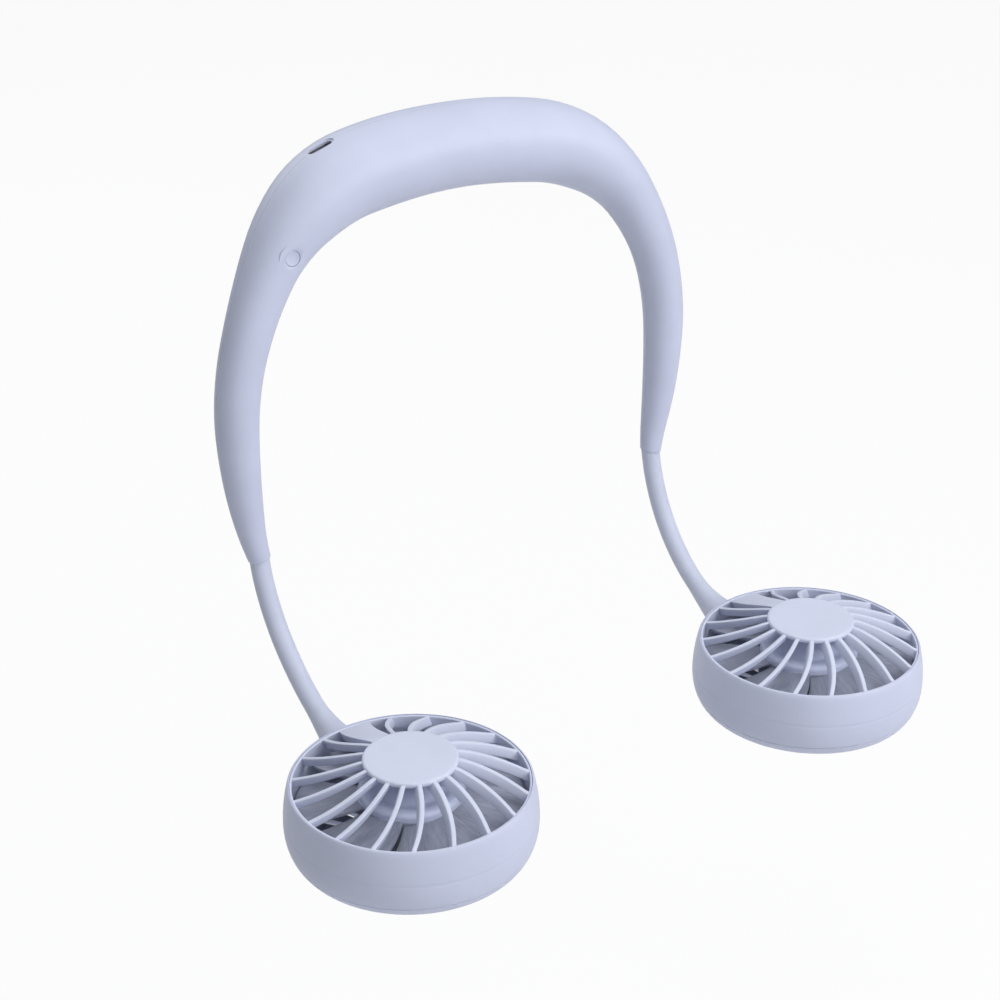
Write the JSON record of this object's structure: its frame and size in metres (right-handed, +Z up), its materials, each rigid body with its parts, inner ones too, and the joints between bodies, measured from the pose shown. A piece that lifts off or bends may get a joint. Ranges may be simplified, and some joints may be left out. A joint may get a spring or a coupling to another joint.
{
  "type": "neck fan",
  "caption": "Wearable electric neck fan: a U-shaped band worn behind the neck, with a round caged fan head on a bendable silicone arm at each end.",
  "frame": {"origin": "middle of the band's neck side, at the lowest line of the crown in its middle plane", "axes": "+Z up as worn, -Y to the wearer's front, where the fan heads are, +X to the right as seen from the front"},
  "size_m": [0.2454, 0.1686, 0.2049],
  "materials": {
    "shell_plastic": "fine matte moulded plastic, pale lavender",
    "grille_plastic": "smooth matte moulded plastic, pale lavender",
    "impeller_plastic": "smooth moulded plastic",
    "silicone": "soft-touch silicone, pale lavender",
    "steel": "plain steel",
    "cell_jacket": "blue shrink-wrapped cell",
    "white_plastic": "plain moulded plastic",
    "foam": "dark foam",
    "board": "green solder mask",
    "switch_plastic": "black moulded plastic",
    "wire_jacket": "smooth wire insulation",
    "magnet": "dark bonded magnet",
    "bronze": "sintered bronze",
    "copper": "enamelled copper wire",
    "laminations": "stacked steel laminations"
  },
  "bodies": {
    "band": {"front_shell": "shell_plastic", "rear_shell": "shell_plastic", "shell_screws": "steel", "battery_cell": "cell_jacket", "battery_cradle": "white_plastic", "battery_tabs": "steel", "foam_pads": "foam", "control_board": "board", "charging_socket": "steel", "tact_switch": "switch_plastic", "lead_wires": "wire_jacket", "left_sleeve_top": "silicone", "left_core_top": "steel", "right_sleeve_top": "silicone", "right_core_top": "steel"},
    "button": {"power_button": "shell_plastic"},
    "left_arm_upper": {"left_sleeve_upper": "silicone", "left_core_upper": "steel"},
    "left_arm_middle": {"left_sleeve_middle": "silicone", "left_core_middle": "steel"},
    "left_arm_lower": {"left_sleeve_lower": "silicone", "left_core_lower": "steel"},
    "left_head": {"left_boot": "silicone", "left_core_end": "steel", "left_housing": "shell_plastic", "left_front_grille": "grille_plastic", "left_rear_cover": "shell_plastic", "left_stator": "laminations", "left_coils": "copper", "left_bearing": "bronze", "left_motor_board": "board", "left_motor_screws": "steel"},
    "left_fan": {"left_impeller": "impeller_plastic", "left_rotor_cup": "steel", "left_magnet_ring": "magnet", "left_shaft": "steel"},
    "right_arm_upper": {"right_sleeve_upper": "silicone", "right_core_upper": "steel"},
    "right_arm_middle": {"right_sleeve_middle": "silicone", "right_core_middle": "steel"},
    "right_arm_lower": {"right_sleeve_lower": "silicone", "right_core_lower": "steel"},
    "right_head": {"right_boot": "silicone", "right_core_end": "steel", "right_housing": "shell_plastic", "right_front_grille": "grille_plastic", "right_rear_cover": "shell_plastic", "right_stator": "laminations", "right_coils": "copper", "right_bearing": "bronze", "right_motor_board": "board", "right_motor_screws": "steel"},
    "right_fan": {"right_impeller": "impeller_plastic", "right_rotor_cup": "steel", "right_magnet_ring": "magnet", "right_shaft": "steel"}
  },
  "joints": [
    {"name": "left_arm_lift_top", "type": "hinge", "parent": "band", "child": "left_arm_upper", "pos_m": [-0.08365, -0.01582, -0.12882], "axis": [-0.9995, -0.0314, 0], "range_deg": [-35, 35]},
    {"name": "left_arm_swing_middle", "type": "hinge", "parent": "left_arm_upper", "child": "left_arm_middle", "pos_m": [-0.08335, -0.02544, -0.14396], "axis": [-0.0238, 0.7565, -0.6536], "range_deg": [-12, 35]},
    {"name": "left_arm_lift_low", "type": "hinge", "parent": "left_arm_middle", "child": "left_arm_lower", "pos_m": [-0.08292, -0.03901, -0.15568], "axis": [-0.9995, -0.0314, 0], "range_deg": [-35, 35]},
    {"name": "left_head_swing", "type": "hinge", "parent": "left_arm_lower", "child": "left_head", "pos_m": [-0.08241, -0.05538, -0.16298], "axis": [-0.0085, 0.2696, -0.9629], "range_deg": [-12, 35]},
    {"name": "left_fan_spin", "type": "hinge", "parent": "left_head", "child": "left_fan", "pos_m": [-0.08189, -0.11076, -0.16406], "axis": [0, 0, 1], "continuous": true},
    {"name": "right_arm_lift_top", "type": "hinge", "parent": "band", "child": "right_arm_upper", "pos_m": [0.08365, -0.01582, -0.12882], "axis": [-0.9995, 0.0314, 0], "range_deg": [-35, 35]},
    {"name": "right_arm_swing_middle", "type": "hinge", "parent": "right_arm_upper", "child": "right_arm_middle", "pos_m": [0.08335, -0.02544, -0.14396], "axis": [-0.0238, -0.7565, 0.6536], "range_deg": [-12, 35]},
    {"name": "right_arm_lift_low", "type": "hinge", "parent": "right_arm_middle", "child": "right_arm_lower", "pos_m": [0.08292, -0.03901, -0.15568], "axis": [-0.9995, 0.0314, 0], "range_deg": [-35, 35]},
    {"name": "right_head_swing", "type": "hinge", "parent": "right_arm_lower", "child": "right_head", "pos_m": [0.08241, -0.05538, -0.16298], "axis": [-0.0085, -0.2696, 0.9629], "range_deg": [-12, 35]},
    {"name": "right_fan_spin", "type": "hinge", "parent": "right_head", "child": "right_fan", "pos_m": [0.08189, -0.11076, -0.16406], "axis": [0, 0, 1], "continuous": true},
    {"name": "button_press", "type": "slide", "parent": "band", "child": "button", "axis": [0, 1, 0], "range_m": [0, 0.0006], "stiffness_N_per_m": 800, "springref_m": -0.0005}
  ]
}
